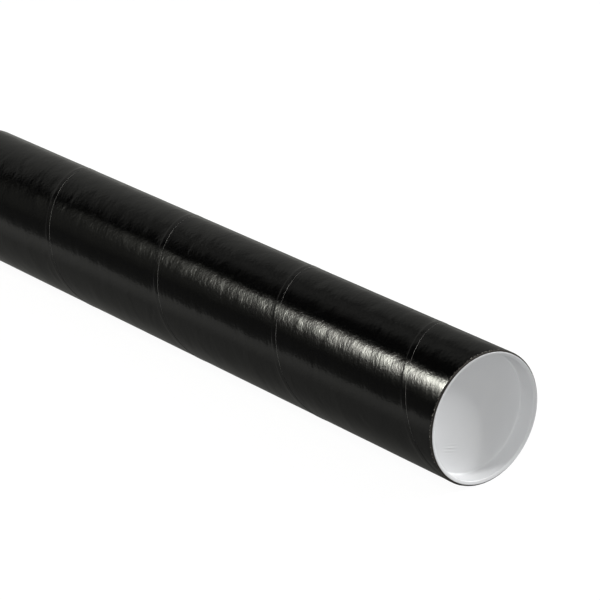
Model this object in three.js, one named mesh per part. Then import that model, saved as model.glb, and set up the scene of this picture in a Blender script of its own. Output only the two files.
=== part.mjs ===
// Drawing tube: a spiral-wound board tube with a black coated wrap and a push-in cap in each end.
// Millimetres, +Z up. The tube lies along X and rests on Z = 0, with its middle over the origin.

import * as THREE from "three";

// Tube
const TUBE_LENGTH = 508;
const BORE_RADIUS = 38.1;
const BOARD_THICKNESS = 0.61;
const WRAP_THICKNESS = 0.14;
const GLUE_LINE = 0.02;
const SIDES = 48; // flats around every round piece, one of them underneath

// Winding: each ply is one strip wound as a helix, and its turns butt against each other
const WINDING_PITCH = 116.7;
const BUTT_GAP = 0.35;
const WRAP_SEAM = 207.6; // where the wrap's seam crosses the top of the tube
const SEAM_STAGGER = 43; // how far each ply's seam lies from the one outside it

// Cap: a thin flange over the tube's end and a recessed plug inside it
const FLANGE_RADIUS = 39.5;
const FLANGE_THICKNESS = 1.2;
const FLANGE_GAP = 0.05;
const PLUG_MOUTH_RADIUS = 37.9;
const PLUG_TIP_RADIUS = 37.5;
const BEAD_HEIGHT = 0.3;
const BEAD_WIDTH = 1.6;
const WALL_THICKNESS = 1;
const FLOOR_THICKNESS = 1.1;
const RECESS_DEPTH = 10.3; // from the tube's end to the floor
const EDGE_ROUND = 0.35;
const FLOOR_ROUND = 1.2;
const ROUND_STEPS = 2;

const SIDE_ANGLE = (2 * Math.PI) / SIDES;
const HALF_LENGTH = TUBE_LENGTH / 2;
const PLY_STEP = BOARD_THICKNESS + GLUE_LINE;
const BOARD_PLIES = ["inner_ply", "middle_ply", "outer_ply"];
const WRAP_RADIUS = BORE_RADIUS + BOARD_PLIES.length * PLY_STEP;
const TUBE_RADIUS = WRAP_RADIUS + WRAP_THICKNESS;

const boardMaterial = new THREE.MeshStandardMaterial({ color: 0xa98d6c, roughness: 0.9, metalness: 0 });
const wrapMaterial = new THREE.MeshStandardMaterial({ color: 0x17181a, roughness: 0.3, metalness: 0 });
const capMaterial = new THREE.MeshStandardMaterial({ color: 0xe6e6e3, roughness: 0.45, metalness: 0 });

// Distance from the axis to a flat-sided ring whose flats lie at the given radius.
// Angles start at the top of the tube and grow towards -Y.
function flatSidedRadius(radius, angle) {
  const fromFlat = angle - SIDE_ANGLE * Math.round(angle / SIDE_ANGLE);
  return radius / Math.cos(fromFlat);
}

function ringPoint(x, angle, radius) {
  const reach = flatSidedRadius(radius, angle);
  return [x, -reach * Math.sin(angle), reach * Math.cos(angle)];
}

// One ply: a strip between two radii whose edges advance by the pitch in each turn,
// cut off square at both ends of the tube.
function stripGeometry(innerRadius, outerRadius, seamAtTop) {
  const stripWidth = WINDING_PITCH - BUTT_GAP;
  const angleWhere = (x) => ((x - seamAtTop - BUTT_GAP / 2) * 2 * Math.PI) / WINDING_PITCH;
  const lowEdge = (angle) => seamAtTop + BUTT_GAP / 2 + (WINDING_PITCH * angle) / (2 * Math.PI);
  const first = angleWhere(-HALF_LENGTH - stripWidth);
  const last = angleWhere(HALF_LENGTH);

  const angles = [first, angleWhere(-HALF_LENGTH), angleWhere(HALF_LENGTH - stripWidth), last];
  for (let i = Math.ceil(first / SIDE_ANGLE - 0.5); (i + 0.5) * SIDE_ANGLE < last; i++) {
    angles.push((i + 0.5) * SIDE_ANGLE);
  }
  angles.sort((a, b) => a - b);

  const positions = [];
  const sections = angles.map((angle) => {
    const start = positions.length / 3;
    const low = Math.max(-HALF_LENGTH, lowEdge(angle));
    if (angle === first || angle === last) {
      const tip = angle === first ? -HALF_LENGTH : HALF_LENGTH;
      positions.push(...ringPoint(tip, angle, innerRadius), ...ringPoint(tip, angle, outerRadius));
      return [start, start, start + 1, start + 1];
    }
    const high = Math.min(HALF_LENGTH, lowEdge(angle) + stripWidth);
    positions.push(...ringPoint(low, angle, innerRadius), ...ringPoint(high, angle, innerRadius));
    positions.push(...ringPoint(high, angle, outerRadius), ...ringPoint(low, angle, outerRadius));
    return [start, start + 1, start + 2, start + 3];
  });

  const triangles = [];
  for (let i = 0; i + 1 < sections.length; i++) {
    for (let corner = 0; corner < 4; corner++) {
      const next = (corner + 1) % 4;
      const [a, b] = [sections[i][corner], sections[i][next]];
      const [c, d] = [sections[i + 1][next], sections[i + 1][corner]];
      if (a !== b) triangles.push(a, b, c);
      if (c !== d) triangles.push(a, c, d);
    }
  }

  const geometry = new THREE.BufferGeometry();
  geometry.setAttribute("position", new THREE.Float32BufferAttribute(positions, 3));
  geometry.setIndex(triangles);
  geometry.computeVertexNormals();
  return geometry;
}

function strip(name, innerRadius, thickness, seamAtTop, material) {
  const mesh = new THREE.Mesh(stripGeometry(innerRadius, innerRadius + thickness, seamAtTop), material);
  mesh.name = name;
  mesh.position.z = TUBE_RADIUS;
  return mesh;
}

// The cap's outline in (radius, x), where x = 0 is the end of the tube and +x is outwards.
function capOutline() {
  const tip = -RECESS_DEPTH - FLOOR_THICKNESS;
  const front = FLANGE_GAP + FLANGE_THICKNESS;
  const beadX = 0.55 * tip;
  const wallRadius = (x) => THREE.MathUtils.mapLinear(x, 0, tip, PLUG_MOUTH_RADIUS, PLUG_TIP_RADIUS);
  const mouth = wallRadius(front) - WALL_THICKNESS;
  const floorEdge = wallRadius(-RECESS_DEPTH) - WALL_THICKNESS;
  const outline = new THREE.Path();
  outline.moveTo(0, tip);
  outline.lineTo(wallRadius(tip) - FLOOR_ROUND, tip);
  outline.lineTo(wallRadius(tip + FLOOR_ROUND), tip + FLOOR_ROUND);
  outline.lineTo(wallRadius(beadX - BEAD_WIDTH / 2), beadX - BEAD_WIDTH / 2);
  outline.lineTo(wallRadius(beadX) + BEAD_HEIGHT, beadX);
  outline.lineTo(wallRadius(beadX + BEAD_WIDTH / 2), beadX + BEAD_WIDTH / 2);
  outline.lineTo(wallRadius(FLANGE_GAP), FLANGE_GAP);
  outline.lineTo(FLANGE_RADIUS, FLANGE_GAP);
  outline.absarc(FLANGE_RADIUS - EDGE_ROUND, front - EDGE_ROUND, EDGE_ROUND, 0, Math.PI / 2);
  outline.lineTo(mouth + EDGE_ROUND, front);
  outline.lineTo(mouth, front - EDGE_ROUND);
  outline.lineTo(floorEdge, FLOOR_ROUND - RECESS_DEPTH);
  outline.lineTo(floorEdge - FLOOR_ROUND, -RECESS_DEPTH);
  outline.lineTo(0, -RECESS_DEPTH);
  return outline.getPoints(ROUND_STEPS);
}

function cap(name, side) {
  const points = capOutline();
  for (const point of points) {
    point.x = flatSidedRadius(point.x, SIDE_ANGLE / 2);
  }
  const geometry = new THREE.LatheGeometry(points, SIDES, SIDE_ANGLE / 2);
  geometry.rotateZ(-Math.PI / 2);
  const mesh = new THREE.Mesh(geometry, capMaterial);
  mesh.name = name;
  mesh.position.set(side * HALF_LENGTH, 0, TUBE_RADIUS);
  mesh.rotation.z = side > 0 ? 0 : Math.PI;
  return mesh;
}

const group = new THREE.Group();
BOARD_PLIES.forEach((name, ply) => {
  const seamAtTop = WRAP_SEAM - SEAM_STAGGER * (BOARD_PLIES.length - ply);
  group.add(strip(name, BORE_RADIUS + ply * PLY_STEP, BOARD_THICKNESS, seamAtTop, boardMaterial));
});
group.add(strip("black_wrap", WRAP_RADIUS, WRAP_THICKNESS, WRAP_SEAM, wrapMaterial));
group.add(cap("near_cap", 1));
group.add(cap("far_cap", -1));

export default group;
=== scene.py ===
"""A spiral-wound drawing tube with a glossy black wrap and a white recessed cap in each end.

Metres, +Z up. The tube lies along X, and its axis is as high as the tube's radius.
"""

import math

import bpy
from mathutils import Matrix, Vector, noise


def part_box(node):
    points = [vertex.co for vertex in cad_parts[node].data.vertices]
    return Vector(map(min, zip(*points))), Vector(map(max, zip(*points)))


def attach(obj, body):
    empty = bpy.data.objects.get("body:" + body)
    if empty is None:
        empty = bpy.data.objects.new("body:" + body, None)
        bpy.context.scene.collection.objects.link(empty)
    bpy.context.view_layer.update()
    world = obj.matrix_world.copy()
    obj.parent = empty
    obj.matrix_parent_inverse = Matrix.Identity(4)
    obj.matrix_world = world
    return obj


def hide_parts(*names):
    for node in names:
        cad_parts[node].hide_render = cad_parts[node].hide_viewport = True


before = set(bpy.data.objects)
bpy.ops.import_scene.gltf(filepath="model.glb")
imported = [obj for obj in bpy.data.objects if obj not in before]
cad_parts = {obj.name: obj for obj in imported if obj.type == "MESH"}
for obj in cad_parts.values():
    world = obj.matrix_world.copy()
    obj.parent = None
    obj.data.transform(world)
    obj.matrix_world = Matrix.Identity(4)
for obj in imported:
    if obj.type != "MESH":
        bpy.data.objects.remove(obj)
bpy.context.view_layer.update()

MM = 0.001

# Edges that turn by more than this stay sharp
SHARP_ANGLE = math.radians(35)

# ---------------------------------------------------------------- sizes

# From the frame
wrap_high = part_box("black_wrap")[1]
HALF_LENGTH = wrap_high.x
AXIS_HEIGHT = wrap_high.z / 2

# Wall of the tube
TUBE_WALL = 2.03 * MM
BORE_RADIUS = AXIS_HEIGHT - TUBE_WALL

# Winding. Angles start at the top of the tube and grow towards -Y, and seams advance along +X
PITCH = 116.7 * MM
PLY_THICKNESS = 0.61 * MM
GLUE_LINE = 0.02 * MM
PLY_STEP = PLY_THICKNESS + GLUE_LINE
PLY_COUNT = 3
BUTT_GAP = 0.35 * MM
WRAP_SEAM = 207.6 * MM
SEAM_STAGGER = 43 * MM
ROW_ANGLE = math.radians(2.25)
COLUMN_WIDTH = 4 * MM

# Wrap: a paper strip whose one edge laps over the turn before it
PAPER = 0.11 * MM
LAP = 3.6 * MM
LAP_RAMP = 0.9 * MM
PAPER_GAP = 0.005 * MM

# The knife leaves the tube's ends slightly crushed
END_COLUMNS = [0, 0.08 * MM, 0.2 * MM, 0.4 * MM, 0.7 * MM]
END_CRUSH = 0.09 * MM

# Slow waves in the wall
WAVE_HEIGHT = 0.035 * MM
WAVE_LENGTH = 18 * MM

# The board is darkened near its cut ends as painted shade in the gap under the cap's flange, and
# the black is worn through in spots beside the cut
END_PAINTED_SHADE = (0.03, 0.028, 0.026, 1)
END_SHADE_DEPTH = 0.5 * MM
WORN_WRAP = (0.26, 0.25, 0.225, 1)
WORN_FROM = 0.9 * MM
WORN_TO = 0.2 * MM

# The wrap's cut edge is darkened underneath and on top as painted shade, by height over the tube's
# radius
EDGE_PAINTED_SHADE = (0.02, 0.02, 0.019, 1)
EDGE_UNSHADED_FROM = (-0.3, 0.4)
EDGE_UNSHADED_TO = (1.06, 0.82)

# Cap: outline corners in (radius, distance out of the tube's end)
FLANGE_RADIUS = 39.05 * MM
FLANGE_EDGE = 0.3 * MM
FLANGE_GAP = 0.05 * MM
FLANGE_FRONT = 0.95 * MM
LIP_CREST = 38.5 * MM
LIP_DROP = 0.58 * MM
PLUG_MOUTH = 37.9 * MM
PLUG_TIP = 37.5 * MM
WALL = 1 * MM
RECESS = 10.3 * MM
TIP = -11.4 * MM
BEAD_PLACE = 0.55 * TIP
BEAD_HEIGHT = 0.3 * MM
BEAD_WIDTH = 1.6 * MM
FLOOR_ROUND = 1.1 * MM
TIP_ROUND = 1.2 * MM
CAP_SEGMENTS = 192
LONGEST_SPAN = 4 * MM

# Sink marks in the cap's floor: middle in (y, z), and size
MARK_PLACE = (-16 * MM, -17.7 * MM)
MARK_TILT = math.radians(-13)
MARK_PITCH = 2 * MM
MARK_LENGTH = 4 * MM
MARK_WIDTH = 2.6 * MM
MARK_DEPTH = 0.08 * MM

# View
VIEW_AZIMUTH = 51.437
VIEW_ELEVATION = 21.045
VIEW_DISTANCE = 1.861
VIEW_AIM = Vector((0.0889, 0, 0.0612))
LENS = 187.86
VIEW_CLIP = (0.05, 50)

# Soft boxes that light the near cap: place, side and radiance
SIDE_BOX = ((0.641, 1.344, 0.816), 0.25, 119.0)
FRONT_BOX = ((1.424, -0.945, 0.586), 0.3, 23.3)

# Soft light from all round
AMBIENT = 0.355

# Key panel: its place, its edges from there, and its brightness along and across it
PANEL_PLACE = Vector((-0.8, -0.65, 0.86))
PANEL_AIM = Vector((0.05, 0, AXIS_HEIGHT))
PANEL_FAR = -0.45
PANEL_NEAR = 0.35
PANEL_TOP = -0.3
PANEL_BOTTOM = 0.6
PANEL_TILT = 0.22
PANEL_RADIANCE = 30
PANEL_COLOUR = (1, 1, 0.9, 1)
PANEL_LENGTHWISE = [
    (0, 0),
    (0.17, 0.008),
    (0.32, 0.024),
    (0.49, 0.14),
    (0.64, 0.6),
    (0.75, 0.87),
    (0.94, 1),
]
PANEL_CROSSWISE = [
    (0, 0.02),
    (0.06, 0.035),
    (0.12, 0.12),
    (0.17, 0.5),
    (0.22, 0.9),
    (0.26, 1),
    (0.333, 1),
    (0.467, 0.4),
    (0.633, 0.045),
    (0.8, 0.005),
    (1, 0),
]
PANEL_GLOW = [(0.333, 0), (0.467, 0.07), (0.633, 0.12), (0.8, 0.12), (1, 0.07)]

# Overhead soft light: its brightness by height, and how it ends towards the tube's far end
CEILING = [(0.38, 0), (0.55, 1.2), (0.72, 1.6), (0.86, 0.5), (0.96, 0.25)]
CEILING_END = (-0.52, -0.3)

# Walls of the room that the gloss mirrors, by height. The back wall ends in a slanted edge
BACK_WALL = [
    (-1, 0.12),
    (-0.72, 0.13),
    (-0.6, 0.1),
    (-0.2, 0.13),
    (-0.09, 0.22),
    (0.02, 0.155),
    (0.12, 0.135),
]
BACK_EDGE = [
    (0.7, 1),
    (0.76, 0.8),
    (0.81, 0.42),
    (0.85, 0.42),
    (0.88, 0.65),
    (0.96, 1.35),
    (1.02, 1.15),
    (1.1, 0.6),
]
FRONT_WALL = [
    (-1, 0.12),
    (-0.65, 0.145),
    (-0.41, 0.2),
    (-0.23, 0.37),
    (-0.13, 0.38),
    (-0.09, 0.15),
    (0.02, 0.08),
    (0.3, 0.06),
    (0.6, 0.01),
]
BACK_GAIN = 0.5
BACK_GAIN_REACH = (0.66, 0.82)
WALL_LINE_SLOPE = 2.2
WALL_LINE_START = -1.617
WALL_BLEND = (-0.08, 0.14)
ROOM_TINT = (1.0, 1.0, 0.94)

# Floor
FLOOR_HALF = 8
FLOOR_DROP = 0.1 * MM
FLOOR_GLOW = 0.96


# ---------------------------------------------------------------- camera


def make_camera():
    """The camera looks at the tube's near end from the side, and down a little."""
    azimuth = math.radians(VIEW_AZIMUTH)
    elevation = math.radians(VIEW_ELEVATION)
    back = Vector(
        (
            math.sin(azimuth) * math.cos(elevation),
            -math.cos(azimuth) * math.cos(elevation),
            math.sin(elevation),
        )
    )
    data = bpy.data.cameras.new("camera")
    data.lens = LENS
    data.clip_start, data.clip_end = VIEW_CLIP
    camera = bpy.data.objects.new("camera", data)
    camera.location = VIEW_AIM + back * VIEW_DISTANCE
    camera.rotation_mode = "QUATERNION"
    camera.rotation_quaternion = (-back).to_track_quat("-Z", "Y")
    bpy.context.scene.collection.objects.link(camera)
    bpy.context.scene.camera = camera


# ---------------------------------------------------------------- node helpers


def add_node(tree, kind, inputs=None, **settings):
    """A new node. Inputs are sockets to link from, or plain values."""
    made = tree.nodes.new(kind)
    for key, value in settings.items():
        setattr(made, key, value)
    for key, value in (inputs or {}).items():
        if isinstance(value, bpy.types.NodeSocket):
            tree.links.new(value, made.inputs[key])
        else:
            made.inputs[key].default_value = value
    return made


def math_node(tree, operation, *values):
    inputs = dict(enumerate(values))
    return add_node(tree, "ShaderNodeMath", inputs, operation=operation).outputs[0]


def smooth_step(tree, value, start, end):
    """0 at start and 1 at end, with a smooth change between them."""
    inputs = {"Value": value, "From Min": start, "From Max": end}
    made = add_node(tree, "ShaderNodeMapRange", inputs, interpolation_type="SMOOTHSTEP")
    return made.outputs["Result"]


def map_range(tree, value, low, high):
    """A 0 to 1 value moved to between low and high."""
    return add_node(
        tree, "ShaderNodeMapRange", {"Value": value, "To Min": low, "To Max": high}
    ).outputs["Result"]


def mix_colours(tree, factor, first, second):
    made = add_node(tree, "ShaderNodeMix", data_type="RGBA")
    for name, value in (("Factor", factor), ("A", first), ("B", second)):
        socket = next(s for s in made.inputs if s.enabled and s.name == name)
        if isinstance(value, bpy.types.NodeSocket):
            tree.links.new(value, socket)
        else:
            socket.default_value = value
    return next(s for s in made.outputs if s.enabled)


def scaled(tree, vector, scale):
    inputs = {"Vector": vector, "Scale": scale}
    return add_node(tree, "ShaderNodeMapping", inputs).outputs["Vector"]


def noise_value(tree, vector, detail=2.0, roughness=0.5, distortion=0.0):
    """Noise of about 1 unit in size."""
    inputs = {
        "Vector": vector,
        "Scale": 1.0,
        "Detail": detail,
        "Roughness": roughness,
        "Distortion": distortion,
    }
    return add_node(tree, "ShaderNodeTexNoise", inputs).outputs["Fac"]


def new_material(name):
    material = bpy.data.materials.new(name)
    material.use_nodes = True
    tree = material.node_tree
    return material, tree, tree.nodes["Principled BSDF"]


def bump(tree, shader, heights):
    """Relief from heights in metres, as (0 to 1 value, height of 1) pairs."""
    total = 0.0
    for value, height in heights:
        total = math_node(tree, "MULTIPLY_ADD", value, height, total)
    made = add_node(tree, "ShaderNodeBump", {"Strength": 1.0, "Distance": 1.0, "Height": total})
    tree.links.new(made.outputs["Normal"], shader.inputs["Normal"])


# ---------------------------------------------------------------- materials


def strip_places(tree):
    """Places along and across a strip, in metres."""
    return add_node(tree, "ShaderNodeUVMap", uv_map="strip").outputs["UV"]


def wrap_material():
    """Gloss coated black paper, with ripples along the strip from the gluing."""
    material, tree, shader = new_material("gloss_black_paper")
    place = strip_places(tree)
    ripple = noise_value(tree, scaled(tree, place, (90, 420, 1)), detail=1, distortion=0.4)
    streak = noise_value(tree, scaled(tree, place, (150, 950, 1)), detail=1.5)
    dimple = noise_value(tree, scaled(tree, place, (380, 500, 1)), detail=2, distortion=0.8)
    clump = noise_value(tree, scaled(tree, place, (48, 70, 1)), detail=1, distortion=0.5)
    bump(
        tree,
        shader,
        [
            (ripple, 0.045 * MM),
            (streak, 0.014 * MM),
            (dimple, 0.085 * MM),
            (clump, 0.32 * MM),
        ],
    )

    haze = noise_value(tree, scaled(tree, place, (40, 160, 1)), detail=4, roughness=0.6)
    tree.links.new(map_range(tree, haze, 0.06, 0.12), shader.inputs["Roughness"])

    mottle = noise_value(tree, scaled(tree, place, (120, 300, 1)), detail=3)
    ink = mix_colours(tree, mottle, (0.0006, 0.0007, 0.001, 1), (0.0019, 0.0018, 0.0017, 1))
    from_middle = distance_from_middle(tree)
    rubbed = smooth_step(tree, from_middle, HALF_LENGTH - WORN_FROM, HALF_LENGTH - WORN_TO)
    chips = noise_value(tree, scaled(tree, place, (900, 900, 1)), detail=3, roughness=0.7)
    worn = math_node(tree, "MULTIPLY", rubbed, smooth_step(tree, chips, 0.52, 0.62))
    colour = mix_colours(tree, worn, ink, WORN_WRAP)
    tree.links.new(colour, shader.inputs["Base Color"])
    shader.inputs["IOR"].default_value = 1.5
    return material


def object_places(tree):
    return add_node(tree, "ShaderNodeTexCoord").outputs["Object"]


def distance_from_middle(tree):
    """How far along the tube a place is from the tube's middle."""
    split = add_node(tree, "ShaderNodeSeparateXYZ", {"Vector": object_places(tree)})
    return math_node(tree, "ABSOLUTE", split.outputs["X"])


def paper_edge_material():
    """The pale core of the wrap paper, which shows where the strip is cut."""
    material, tree, shader = new_material("cut_paper_edge")
    fibres = noise_value(tree, scaled(tree, strip_places(tree), (700, 2500, 1)), detail=3)
    edge_tone = mix_colours(tree, fibres, (0.24, 0.233, 0.218, 1), (0.7, 0.68, 0.64, 1))
    # Painted shade: the cut edge is darkened underneath and on top of the tube, by height
    split = add_node(tree, "ShaderNodeSeparateXYZ", {"Vector": object_places(tree)})
    height = math_node(tree, "DIVIDE", split.outputs["Z"], AXIS_HEIGHT)
    above = smooth_step(tree, height, *EDGE_UNSHADED_FROM)
    below = smooth_step(tree, height, *EDGE_UNSHADED_TO)
    unshaded = math_node(tree, "MULTIPLY", above, below)
    colour = mix_colours(tree, unshaded, EDGE_PAINTED_SHADE, edge_tone)
    tree.links.new(colour, shader.inputs["Base Color"])
    tree.links.new(map_range(tree, fibres, 0.85, 0.95), shader.inputs["Roughness"])
    bump(tree, shader, [(fibres, 0.02 * MM)])
    return material


def board_material(name, dark, light):
    """Raw recycled board with fibres along the strip and a few dark flecks."""
    material, tree, shader = new_material(name)
    place = strip_places(tree)
    fibres = noise_value(tree, scaled(tree, place, (250, 2200, 1)), detail=4, roughness=0.65)
    cloud = noise_value(tree, scaled(tree, place, (60, 90, 1)), detail=3)
    fleck = noise_value(tree, scaled(tree, place, (1100, 1900, 1)), detail=1)
    body = mix_colours(tree, fibres, dark, light)
    shaded = mix_colours(tree, map_range(tree, cloud, 0, 0.5), body, dark)
    flecks = math_node(tree, "MULTIPLY", smooth_step(tree, fleck, 0.7, 0.78), 0.6)
    flecked = mix_colours(tree, flecks, shaded, (0.09, 0.06, 0.04, 1))
    # Painted shade: the board darkens towards its cut ends, in the gap under the cap's flange
    cut = smooth_step(tree, distance_from_middle(tree), HALF_LENGTH - END_SHADE_DEPTH, HALF_LENGTH)
    colour = mix_colours(tree, math_node(tree, "MULTIPLY", cut, 0.95), flecked, END_PAINTED_SHADE)
    tree.links.new(colour, shader.inputs["Base Color"])
    tree.links.new(map_range(tree, fibres, 0.82, 0.96), shader.inputs["Roughness"])
    bump(tree, shader, [(fibres, 0.03 * MM), (cloud, 0.05 * MM)])
    return material


def sink_marks(tree):
    """A few short shallow waves in the cap's floor, near its lower edge."""
    split = add_node(tree, "ShaderNodeSeparateXYZ", {"Vector": object_places(tree)})
    cos, sin = math.cos(MARK_TILT), math.sin(MARK_TILT)
    from_y = math_node(tree, "SUBTRACT", split.outputs["Y"], MARK_PLACE[0])
    from_z = math_node(tree, "SUBTRACT", split.outputs["Z"], MARK_PLACE[1])
    along = math_node(tree, "MULTIPLY_ADD", from_y, cos, math_node(tree, "MULTIPLY", from_z, sin))
    across = math_node(tree, "MULTIPLY_ADD", from_y, -sin, math_node(tree, "MULTIPLY", from_z, cos))
    wave = math_node(tree, "SINE", math_node(tree, "MULTIPLY", across, 2 * math.pi / MARK_PITCH))
    long_share = math_node(tree, "DIVIDE", along, MARK_LENGTH)
    wide_share = math_node(tree, "DIVIDE", across, MARK_WIDTH)
    wide_square = math_node(tree, "MULTIPLY", wide_share, wide_share)
    reach = math_node(tree, "MULTIPLY_ADD", long_share, long_share, wide_square)
    fade = math_node(tree, "EXPONENT", math_node(tree, "MULTIPLY", reach, -1.0))
    return math_node(tree, "MULTIPLY", wave, fade)


def cap_material():
    """Satin moulded polyethylene with a fine mould texture."""
    material, tree, shader = new_material("white_polyethylene")
    place = object_places(tree)
    cloud = noise_value(tree, scaled(tree, place, (45, 45, 45)), detail=3)
    skin = noise_value(tree, scaled(tree, place, (1800, 1800, 1800)), detail=2)
    flow = noise_value(tree, scaled(tree, place, (130, 130, 130)), detail=2)
    colour = mix_colours(tree, cloud, (0.7, 0.71, 0.72, 1), (0.74, 0.745, 0.75, 1))
    tree.links.new(colour, shader.inputs["Base Color"])
    tree.links.new(map_range(tree, flow, 0.34, 0.46), shader.inputs["Roughness"])
    bump(tree, shader, [(skin, 0.004 * MM), (flow, 0.02 * MM), (sink_marks(tree), MARK_DEPTH)])
    shader.inputs["IOR"].default_value = 1.51
    return material


# ---------------------------------------------------------------- tube


def clamp(value, low, high):
    return max(low, min(high, value))


def wall_wave(point):
    """How far the wall stands out at a point, from its slow waves."""
    return WAVE_HEIGHT * noise.noise(point / WAVE_LENGTH)


def tube_point(x, angle, radius):
    """A point in the tube's own frame, with its axis on X."""
    on_wall = Vector((x, -AXIS_HEIGHT * math.sin(angle), AXIS_HEIGHT * math.cos(angle)))
    reach = radius + wall_wave(on_wall)
    return (x, -reach * math.sin(angle), reach * math.cos(angle))


def end_crush(x):
    """How far the outside is pressed in next to a cut end."""
    near = 1 - clamp((HALF_LENGTH - abs(x)) / END_COLUMNS[-1], 0, 1)
    return END_CRUSH * near * near


def even_columns(width):
    count = math.ceil(width / COLUMN_WIDTH)
    return [width * i / count for i in range(count + 1)]


def row_angles(low_at_top, width):
    """Angles of a strip's rows, with one at each place where an edge meets a cut end."""
    turn = 2 * math.pi / PITCH
    corners = [
        (end - edge - low_at_top) * turn
        for end in (-HALF_LENGTH, HALF_LENGTH)
        for edge in (width, 0)
    ]
    first, last = min(corners), max(corners)
    count = math.ceil((last - first) / ROW_ANGLE)
    even = [first + (last - first) * i / count for i in range(1, count)]
    clear = [a for a in even if all(abs(a - c) > 0.2 * ROW_ANGLE for c in corners)]
    return sorted(corners + clear)


def row_places(low, columns):
    """X of each column of a row, cut off at the tube's ends."""
    high = low + columns[-1]
    inside = HALF_LENGTH - END_COLUMNS[-1]
    places = [-HALF_LENGTH + e for e in END_COLUMNS]
    places += [clamp(low + c, -inside, inside) for c in columns]
    places += [HALF_LENGTH - e for e in reversed(END_COLUMNS)]
    return [clamp(x, max(low, -HALF_LENGTH), min(high, HALF_LENGTH)) for x in places]


def strip_rows(low_at_top, columns, inner_radius, outer_radius, lift):
    """Points of a strip, their places on the flat strip, and the points' numbers row by row."""
    around = 2 * math.pi * AXIS_HEIGHT
    across_step = around / math.hypot(around, PITCH)
    along_step = PITCH / math.hypot(around, PITCH)
    points, uvs, rows, index = [], [], [], {}
    for row, angle in enumerate(row_angles(low_at_top, columns[-1])):
        low = low_at_top + PITCH * angle / (2 * math.pi)
        places = row_places(low, columns)
        outside = [(x, outer_radius + lift(x - low) - end_crush(x)) for x in places]
        inside = [(x, inner_radius + lift(x - low)) for x in reversed(places)]
        ids = []
        for x, radius in outside + inside:
            key = (row, round(x, 9), round(radius, 9))
            if key not in index:
                index[key] = len(points)
                points.append(tube_point(x, angle, radius))
                along = x * along_step + angle * AXIS_HEIGHT * across_step
                uvs.append((along, (x - low) * across_step))
            ids.append(index[key])
        rows.append(ids)
    return points, uvs, rows


def strip_faces(rows):
    """Faces between the rows of a strip, and which of them are its long cut edges."""
    faces, is_edge = [], []
    sides = len(rows[0])
    edge_sides = (sides // 2 - 1, sides - 1)
    for here, there in zip(rows, rows[1:]):
        for i in range(sides):
            j = (i + 1) % sides
            corners = list(dict.fromkeys((here[i], here[j], there[j], there[i])))
            if len(corners) > 2:
                faces.append(corners)
                is_edge.append(i in edge_sides)
    return faces, is_edge


def strip_object(name, seam_at_top, columns, inner_radius, outer_radius, lift, face, edge):
    """One wound strip. Its high edge crosses the top of the tube at seam_at_top.

    lift gives how far the strip stands off at a distance from its low edge.
    """
    low_at_top = seam_at_top - columns[-1]
    points, uvs, rows = strip_rows(low_at_top, columns, inner_radius, outer_radius, lift)
    faces, is_edge = strip_faces(rows)
    obj = mesh_object(name, points, faces)
    layer = obj.data.uv_layers.new(name="strip")
    for loop in obj.data.loops:
        layer.data[loop.index].uv = uvs[loop.vertex_index]
    obj.data.materials.append(face)
    obj.data.materials.append(edge)
    for polygon, cut in zip(obj.data.polygons, is_edge):
        polygon.material_index = int(cut)
    obj.location.z = AXIS_HEIGHT
    return obj


def mesh_object(name, points, faces):
    """A smooth shaded object whose real corners stay sharp."""
    mesh = bpy.data.meshes.new(name)
    mesh.from_pydata(points, [], faces)
    mesh.validate()
    mesh.shade_smooth()
    mesh.set_sharp_from_angle(angle=SHARP_ANGLE)
    obj = bpy.data.objects.new(name, mesh)
    bpy.context.scene.collection.objects.link(obj)
    return obj


def wrap_columns():
    """Columns across the wrap, with close ones where the lapped edge steps up."""
    bare = even_columns(PITCH - LAP_RAMP)
    ramp = [bare[-1] + LAP_RAMP * i / 5 for i in range(1, 6)]
    return bare + ramp + [ramp[-1] + LAP * i / 3 for i in range(1, 4)]


def wrap_lift(from_low):
    """The last part of the strip lies on the low edge of the next turn."""
    share = clamp((from_low - (PITCH - LAP_RAMP)) / LAP_RAMP, 0, 1)
    return (PAPER + PAPER_GAP) * share * share * (3 - 2 * share)


def make_wrap():
    board_radius = BORE_RADIUS + PLY_COUNT * PLY_STEP - GLUE_LINE
    inner = board_radius + PAPER_GAP
    obj = strip_object(
        "wrap_paper",
        WRAP_SEAM,
        wrap_columns(),
        inner,
        inner + PAPER,
        wrap_lift,
        wrap_material(),
        paper_edge_material(),
    )
    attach(obj, "tube")
    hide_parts("black_wrap")


def make_board_ply(node, ply, dark, light):
    """One board strip, whose turns butt against each other."""
    inner = BORE_RADIUS + ply * PLY_STEP
    material = board_material(node + "_board", dark, light)
    obj = strip_object(
        node + "_board",
        WRAP_SEAM - SEAM_STAGGER * (PLY_COUNT - ply) - BUTT_GAP / 2,
        even_columns(PITCH - BUTT_GAP),
        inner,
        inner + PLY_THICKNESS,
        lambda from_low: 0,
        material,
        material,
    )
    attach(obj, "tube")
    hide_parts(node)


# ---------------------------------------------------------------- caps


def rounded_outline(corners, steps=6):
    """Points of an outline from (radius, x, rounding) corners. The ends stay sharp."""
    points = [Vector(corners[0][:2])]
    for before, here, after in zip(corners, corners[1:], corners[2:]):
        corner = Vector(here[:2])
        back = (Vector(before[:2]) - corner).normalized()
        on = (Vector(after[:2]) - corner).normalized()
        half = back.angle(on) / 2
        reach = here[2] / math.tan(half)
        start, end = corner + back * reach, corner + on * reach
        centre = corner + (back + on).normalized() * (here[2] / math.sin(half))
        sweep = (start - centre).angle_signed(end - centre)
        arm = start - centre
        for i in range(steps + 1):
            turn = -sweep * i / steps
            cos, sin = math.cos(turn), math.sin(turn)
            points.append(centre + Vector((arm.x * cos - arm.y * sin, arm.x * sin + arm.y * cos)))
    points.append(Vector(corners[-1][:2]))
    return points


def plug_radius(x):
    """Outside radius of the plug, which narrows towards its tip."""
    return PLUG_MOUTH + (PLUG_TIP - PLUG_MOUTH) * x / TIP


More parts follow.
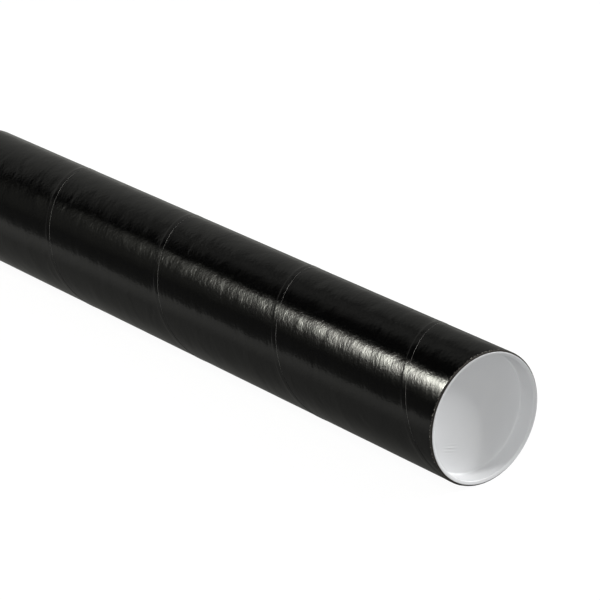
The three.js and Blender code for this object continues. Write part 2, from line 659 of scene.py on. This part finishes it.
def cap_outline():
    bead_low = BEAD_PLACE - BEAD_WIDTH / 2
    bead_high = BEAD_PLACE + BEAD_WIDTH / 2
    mouth = plug_radius(FLANGE_FRONT) - WALL
    floor_edge = plug_radius(-RECESS) - WALL
    return rounded_outline(
        [
            (0, TIP, 0),
            (plug_radius(TIP), TIP, TIP_ROUND),
            (plug_radius(bead_low), bead_low, 0.4 * MM),
            (plug_radius(BEAD_PLACE) + BEAD_HEIGHT, BEAD_PLACE, 0.6 * MM),
            (plug_radius(bead_high), bead_high, 0.4 * MM),
            (plug_radius(FLANGE_GAP), FLANGE_GAP, 0.2 * MM),
            (FLANGE_RADIUS, FLANGE_FRONT - FLANGE_EDGE, 0.1 * MM),
            (FLANGE_RADIUS, FLANGE_FRONT, 0.2 * MM),
            (LIP_CREST, FLANGE_FRONT, 1.5 * MM),
            (mouth, FLANGE_FRONT - LIP_DROP, 0.8 * MM),
            (floor_edge, -RECESS, FLOOR_ROUND),
            (0, -RECESS, 0),
        ]
    )


def subdivided(points, longest):
    """The same outline with no span longer than the given length."""
    result = [points[0]]
    for start, end in zip(points, points[1:]):
        count = max(1, math.ceil((end - start).length / longest))
        result += [start.lerp(end, i / count) for i in range(1, count + 1)]
    return result


def lathe(points):
    """Points and faces of an outline turned about X."""
    made, rings = [], []
    for point in points:
        if point.x < 1e-7:
            rings.append([len(made)] * CAP_SEGMENTS)
            made.append((point.y, 0, 0))
            continue
        rings.append(list(range(len(made), len(made) + CAP_SEGMENTS)))
        for i in range(CAP_SEGMENTS):
            angle = 2 * math.pi * i / CAP_SEGMENTS
            made.append((point.y, -point.x * math.sin(angle), point.x * math.cos(angle)))
    faces = []
    for here, there in zip(rings, rings[1:]):
        for i in range(CAP_SEGMENTS):
            j = (i + 1) % CAP_SEGMENTS
            corners = list(dict.fromkeys((here[i], here[j], there[j], there[i])))
            if len(corners) > 2:
                faces.append(corners)
    return made, faces


def make_cap(node, side, material):
    points, faces = lathe(subdivided(cap_outline(), LONGEST_SPAN))
    obj = mesh_object(node + "_moulding", points, faces)
    obj.data.materials.append(material)
    obj.location = (side * HALF_LENGTH, 0, AXIS_HEIGHT)
    obj.rotation_euler.z = 0 if side > 0 else math.pi
    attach(obj, node)
    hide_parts(node)


# ---------------------------------------------------------------- studio


def make_floor():
    """A pale floor that adds no light and isn't mirrored. The room's lower half does both."""
    corners = [(-1, -1), (1, -1), (1, 1), (-1, 1)]
    points = [(x * FLOOR_HALF, y * FLOOR_HALF, -FLOOR_DROP) for x, y in corners]
    floor = mesh_object("floor", points, [(0, 1, 2, 3)])
    material, tree, shader = new_material("pale_floor")
    shader.inputs["Base Color"].default_value = (0.07, 0.07, 0.07, 1)
    shader.inputs["Roughness"].default_value = 0.9
    shader.inputs["Specular IOR Level"].default_value = 0
    shader.inputs["Emission Color"].default_value = (1, 1, 1, 1)
    shader.inputs["Emission Strength"].default_value = FLOOR_GLOW
    floor.data.materials.append(material)
    floor.visible_glossy = False
    floor.visible_diffuse = False


def ramp(tree, value, low, high, stops):
    """A ramp of greys from (value, grey) stops, for values from low to high."""
    inputs = {"Value": value, "From Min": low, "From Max": high}
    share = add_node(tree, "ShaderNodeMapRange", inputs).outputs["Result"]
    made = add_node(tree, "ShaderNodeValToRGB", {"Fac": share})
    elements = made.color_ramp.elements
    while len(elements) < len(stops):
        elements.new(0.5)
    for element, (place, grey) in zip(elements, stops):
        element.position = (place - low) / (high - low)
        element.color = (grey, grey, grey, 1)
    return made.outputs["Color"]


def back_wall(tree, height, reach):
    """Brightness of the studio beyond the tube: a pale wall up to a soft edge."""
    lower = ramp(tree, height, -1, 1, BACK_WALL)
    slope = math_node(tree, "DIVIDE", height, math_node(tree, "MAXIMUM", reach, 0.05))
    edge = ramp(tree, slope, 0, 1.25, BACK_EDGE)
    nearer = math_node(tree, "MULTIPLY", smooth_step(tree, reach, *BACK_GAIN_REACH), BACK_GAIN)
    gain = math_node(tree, "ADD", nearer, 1.0)
    return math_node(tree, "MULTIPLY", math_node(tree, "MULTIPLY", lower, edge), gain)


def front_wall(tree, height):
    """Brightness of the studio on the camera's side: dark above a pale table edge."""
    return ramp(tree, height, -1, 1, FRONT_WALL)


def ceiling(tree, height, along):
    """A wide overhead soft light, which stops short of the tube's far end."""
    glow = ramp(tree, height, 0, 1, CEILING)
    reached = smooth_step(tree, along, *CEILING_END)
    return math_node(tree, "MULTIPLY", glow, reached)


def mirrored_room(tree):
    """Brightness of the dim studio that the gloss mirrors, by direction."""
    direction = add_node(tree, "ShaderNodeTexCoord").outputs["Generated"]
    split = add_node(tree, "ShaderNodeSeparateXYZ", {"Vector": direction})
    along, across, height = (split.outputs[axis] for axis in "XYZ")
    reach = math_node(tree, "ABSOLUTE", along)
    back = back_wall(tree, height, reach)
    front = front_wall(tree, height)
    slanted = math_node(tree, "MULTIPLY_ADD", reach, WALL_LINE_SLOPE, WALL_LINE_START)
    side = smooth_step(tree, math_node(tree, "ADD", across, slanted), *WALL_BLEND)
    walls = mix_colours(tree, side, front, back)
    glow = ceiling(tree, height, along)
    whole = add_node(tree, "ShaderNodeVectorMath", {0: walls, 1: glow}, operation="ADD")
    tint = {0: whole.outputs["Vector"], 1: ROOM_TINT}
    return add_node(tree, "ShaderNodeVectorMath", tint, operation="MULTIPLY").outputs["Vector"]


def make_world():
    """A white room for the camera, and a dim studio for what the gloss mirrors."""
    world = bpy.data.worlds.new("studio")
    world.use_nodes = True
    bpy.context.scene.world = world
    tree = world.node_tree
    tree.nodes.clear()
    ray = add_node(tree, "ShaderNodeLightPath").outputs
    soft = (AMBIENT, AMBIENT, AMBIENT, 1)
    lit = mix_colours(tree, ray["Is Glossy Ray"], soft, mirrored_room(tree))
    colour = mix_colours(tree, ray["Is Camera Ray"], lit, (1, 1, 1, 1))
    shader = add_node(tree, "ShaderNodeBackground", {"Color": colour, "Strength": 1.0})
    output = add_node(tree, "ShaderNodeOutputWorld")
    tree.links.new(shader.outputs["Background"], output.inputs["Surface"])


def make_soft_box(name, place, side, radiance):
    """A square light of an even radiance, which faces the near cap."""
    data = bpy.data.lights.new(name, "AREA")
    data.shape = "RECTANGLE"
    data.size = side
    data.size_y = side
    data.energy = radiance * math.pi * side * side
    light = bpy.data.objects.new(name, data)
    light.location = place
    light.rotation_mode = "QUATERNION"
    facing = Vector((HALF_LENGTH, 0, AXIS_HEIGHT)) - Vector(place)
    light.rotation_quaternion = facing.to_track_quat("-Z", "Y")
    light.visible_camera = False
    bpy.context.scene.collection.objects.link(light)


def key_panel_light():
    """Light that fades towards the panel's far end and its upper and lower edges."""
    material = bpy.data.materials.new("key_panel_light")
    material.use_nodes = True
    tree = material.node_tree
    tree.nodes.clear()
    place = add_node(tree, "ShaderNodeUVMap", uv_map="panel").outputs["UV"]
    split = add_node(tree, "ShaderNodeSeparateXYZ", {"Vector": place})
    lengthwise = ramp(tree, split.outputs["X"], 0, 1, PANEL_LENGTHWISE)
    crosswise = ramp(tree, split.outputs["Y"], 0, 1, PANEL_CROSSWISE)
    glow = ramp(tree, split.outputs["Y"], 0, 1, PANEL_GLOW)
    bright = math_node(tree, "MULTIPLY", lengthwise, crosswise)
    strength = math_node(tree, "MULTIPLY_ADD", bright, PANEL_RADIANCE, glow)
    shader = add_node(tree, "ShaderNodeEmission", {"Color": PANEL_COLOUR, "Strength": strength})
    output = add_node(tree, "ShaderNodeOutputMaterial")
    tree.links.new(shader.outputs["Emission"], output.inputs["Surface"])
    return material


def make_key_panel():
    """A slanted soft box beside the far end of the tube."""
    facing = (PANEL_AIM - PANEL_PLACE).normalized()
    along = Vector((1, 0, 0))
    along = (along - facing * along.dot(facing)).normalized()
    downward = facing.cross(along)
    along = (along + downward * PANEL_TILT).normalized()
    downward = facing.cross(along)
    places = [(0, 0), (1, 0), (1, 1), (0, 1)]
    points = []
    for a, b in places:
        to_side = along * (PANEL_FAR + (PANEL_NEAR - PANEL_FAR) * a)
        down = downward * (PANEL_TOP + (PANEL_BOTTOM - PANEL_TOP) * b)
        points.append(PANEL_PLACE + to_side + down)
    panel = mesh_object("key_panel", points, [(0, 1, 2, 3)])
    layer = panel.data.uv_layers.new(name="panel")
    for loop in panel.data.loops:
        layer.data[loop.index].uv = places[loop.vertex_index]
    panel.data.materials.append(key_panel_light())
    panel.visible_camera = False


def make_studio():
    make_floor()
    make_world()
    make_key_panel()
    make_soft_box("side_box", *SIDE_BOX)
    make_soft_box("front_box", *FRONT_BOX)
    bpy.context.scene.view_settings.view_transform = "Standard"


# ---------------------------------------------------------------- build


make_camera()
make_wrap()
make_board_ply("inner_ply", 0, (0.3, 0.22, 0.14, 1), (0.52, 0.41, 0.29, 1))
make_board_ply("middle_ply", 1, (0.24, 0.18, 0.12, 1), (0.44, 0.35, 0.25, 1))
make_board_ply("outer_ply", 2, (0.27, 0.21, 0.15, 1), (0.48, 0.39, 0.29, 1))
plastic = cap_material()
make_cap("near_cap", 1, plastic)
make_cap("far_cap", -1, plastic)
make_studio()
